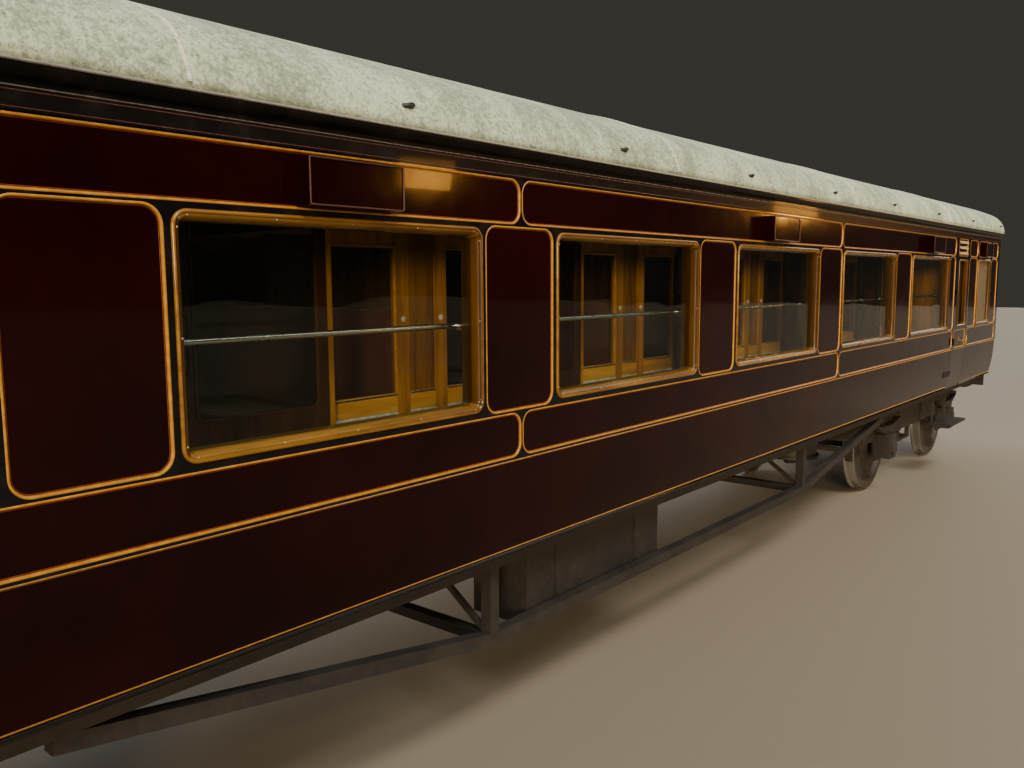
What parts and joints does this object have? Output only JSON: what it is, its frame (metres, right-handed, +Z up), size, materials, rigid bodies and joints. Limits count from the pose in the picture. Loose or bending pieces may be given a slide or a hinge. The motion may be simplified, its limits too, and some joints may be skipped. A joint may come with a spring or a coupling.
{
  "type": "railway passenger coach",
  "caption": "Wooden-panelled bogie passenger coach with a side corridor, hinged and sliding doors, arched canvas roof, end gangways and turning wheelsets.",
  "frame": {"origin": "middle of the coach at the foot of the wheel flanges", "axes": "+X along the coach, -Y out of the corridor side, +Z up"},
  "size_m": [19.228, 2.911, 3.783],
  "materials": {
    "panel_paint": "glossy varnished crimson paint",
    "moulding_paint": "glossy black paint",
    "golden_wood": "varnished golden wood",
    "inner_wood": "varnished brown wood",
    "floor_cloth": "worn floor cloth",
    "roof_canvas": "weathered painted canvas",
    "glass": "clear plate glass",
    "underframe_black": "satin black paint",
    "wheel_steel": "worn steel",
    "buffer_steel": "dull steel",
    "bellows_canvas": "grey canvas",
    "bright_metal": "polished metal",
    "seat_cloth": "deep pile cloth",
    "rack_metal": "lacquered brass"
  },
  "bodies": {
    "coach_body": {"side_corridor": "panel_paint", "side_compartment": "panel_paint", "cantrails": "moulding_paint", "mouldings_corridor": "moulding_paint", "mouldings_compartment": "moulding_paint", "cornices": "moulding_paint", "roof": "roof_canvas", "floor": "floor_cloth", "end_walls": "panel_paint", "window_frames": "golden_wood", "corridor_partition": "inner_wood", "partition_header": "inner_wood", "window_glass": "glass", "cross_partitions": "inner_wood", "lavatory_walls": "inner_wood", "seat_frames": "inner_wood", "seat_cushions": "seat_cloth", "luggage_racks": "rack_metal", "window_rails": "bright_metal", "hood_ventilators": "panel_paint", "solebars": "underframe_black", "headstocks": "underframe_black", "cross_members": "underframe_black", "trussing": "underframe_black", "battery_boxes": "underframe_black", "vacuum_cylinders": "underframe_black", "dynamo": "underframe_black", "footboards": "golden_wood", "buffers": "buffer_steel", "drawgear": "underframe_black", "gangway_bellows": "bellows_canvas", "gangway_faceplates": "underframe_black"},
    "sliding_door_1": {"sliding_door_1": "inner_wood"},
    "sliding_door_2": {"sliding_door_2": "inner_wood"},
    "sliding_door_3": {"sliding_door_3": "inner_wood"},
    "sliding_door_4": {"sliding_door_4": "inner_wood"},
    "sliding_door_5": {"sliding_door_5": "inner_wood"},
    "sliding_door_6": {"sliding_door_6": "inner_wood"},
    "door_corridor_left": {"door_corridor_left": "panel_paint", "door_glass_corridor_left": "glass"},
    "door_corridor_right": {"door_corridor_right": "panel_paint", "door_glass_corridor_right": "glass"},
    "door_compartment_left": {"door_compartment_left": "panel_paint", "door_glass_compartment_left": "glass"},
    "door_compartment_right": {"door_compartment_right": "panel_paint", "door_glass_compartment_right": "glass"},
    "lavatory_door_left": {"lavatory_door_left": "inner_wood"},
    "bogie_left": {"bogie_frame_left": "underframe_black", "bolster_left": "underframe_black", "axleboxes_left": "underframe_black", "springs_left": "underframe_black"},
    "lavatory_door_right": {"lavatory_door_right": "inner_wood"},
    "bogie_right": {"bogie_frame_right": "underframe_black", "bolster_right": "underframe_black", "axleboxes_right": "underframe_black", "springs_right": "underframe_black"},
    "wheelset_1": {"wheelset_1": "wheel_steel"},
    "wheelset_2": {"wheelset_2": "wheel_steel"},
    "wheelset_3": {"wheelset_3": "wheel_steel"},
    "wheelset_4": {"wheelset_4": "wheel_steel"}
  },
  "joints": [
    {"name": "bogie_left_swivel", "type": "hinge", "parent": "coach_body", "child": "bogie_left", "pos_m": [-6.63, 0, 1], "axis": [0, 0, 1], "range_deg": [-4, 4]},
    {"name": "bogie_right_swivel", "type": "hinge", "parent": "coach_body", "child": "bogie_right", "pos_m": [6.63, 0, 1], "axis": [0, 0, 1], "range_deg": [-4, 4]},
    {"name": "wheelset_1_roll", "type": "hinge", "parent": "bogie_left", "child": "wheelset_1", "pos_m": [-8.0015, 0, 0.5805], "axis": [0, 1, 0], "continuous": true},
    {"name": "wheelset_2_roll", "type": "hinge", "parent": "bogie_left", "child": "wheelset_2", "pos_m": [-5.2585, 0, 0.5805], "axis": [0, 1, 0], "continuous": true},
    {"name": "wheelset_3_roll", "type": "hinge", "parent": "bogie_right", "child": "wheelset_3", "pos_m": [5.2585, 0, 0.5805], "axis": [0, 1, 0], "continuous": true},
    {"name": "wheelset_4_roll", "type": "hinge", "parent": "bogie_right", "child": "wheelset_4", "pos_m": [8.0015, 0, 0.5805], "axis": [0, 1, 0], "continuous": true},
    {"name": "door_corridor_left_hinge", "type": "hinge", "parent": "coach_body", "child": "door_corridor_left", "pos_m": [-6.595, -1.3835, 2.2], "axis": [0, 0, 1], "range_deg": [0, 90]},
    {"name": "door_corridor_right_hinge", "type": "hinge", "parent": "coach_body", "child": "door_corridor_right", "pos_m": [6.595, -1.3835, 2.2], "axis": [0, 0, -1], "range_deg": [0, 90]},
    {"name": "door_compartment_left_hinge", "type": "hinge", "parent": "coach_body", "child": "door_compartment_left", "pos_m": [-6.595, 1.3835, 2.2], "axis": [0, 0, -1], "range_deg": [0, 90]},
    {"name": "door_compartment_right_hinge", "type": "hinge", "parent": "coach_body", "child": "door_compartment_right", "pos_m": [6.595, 1.3835, 2.2], "axis": [0, 0, 1], "range_deg": [0, 90]},
    {"name": "sliding_door_1_slide", "type": "slide", "parent": "coach_body", "child": "sliding_door_1", "axis": [1, 0, 0], "range_m": [0, 0.64]},
    {"name": "sliding_door_2_slide", "type": "slide", "parent": "coach_body", "child": "sliding_door_2", "axis": [1, 0, 0], "range_m": [0, 0.64]},
    {"name": "sliding_door_3_slide", "type": "slide", "parent": "coach_body", "child": "sliding_door_3", "axis": [1, 0, 0], "range_m": [0, 0.64]},
    {"name": "sliding_door_4_slide", "type": "slide", "parent": "coach_body", "child": "sliding_door_4", "axis": [1, 0, 0], "range_m": [0, 0.64]},
    {"name": "sliding_door_5_slide", "type": "slide", "parent": "coach_body", "child": "sliding_door_5", "axis": [1, 0, 0], "range_m": [0, 0.64]},
    {"name": "sliding_door_6_slide", "type": "slide", "parent": "coach_body", "child": "sliding_door_6", "axis": [1, 0, 0], "range_m": [0, 0.64]},
    {"name": "lavatory_door_left_hinge", "type": "hinge", "parent": "coach_body", "child": "lavatory_door_left", "pos_m": [-8.703, -0.442, 2.2], "axis": [0, 0, -1], "range_deg": [0, 85]},
    {"name": "lavatory_door_right_hinge", "type": "hinge", "parent": "coach_body", "child": "lavatory_door_right", "pos_m": [8.703, -0.442, 2.2], "axis": [0, 0, 1], "range_deg": [0, 85]}
  ]
}
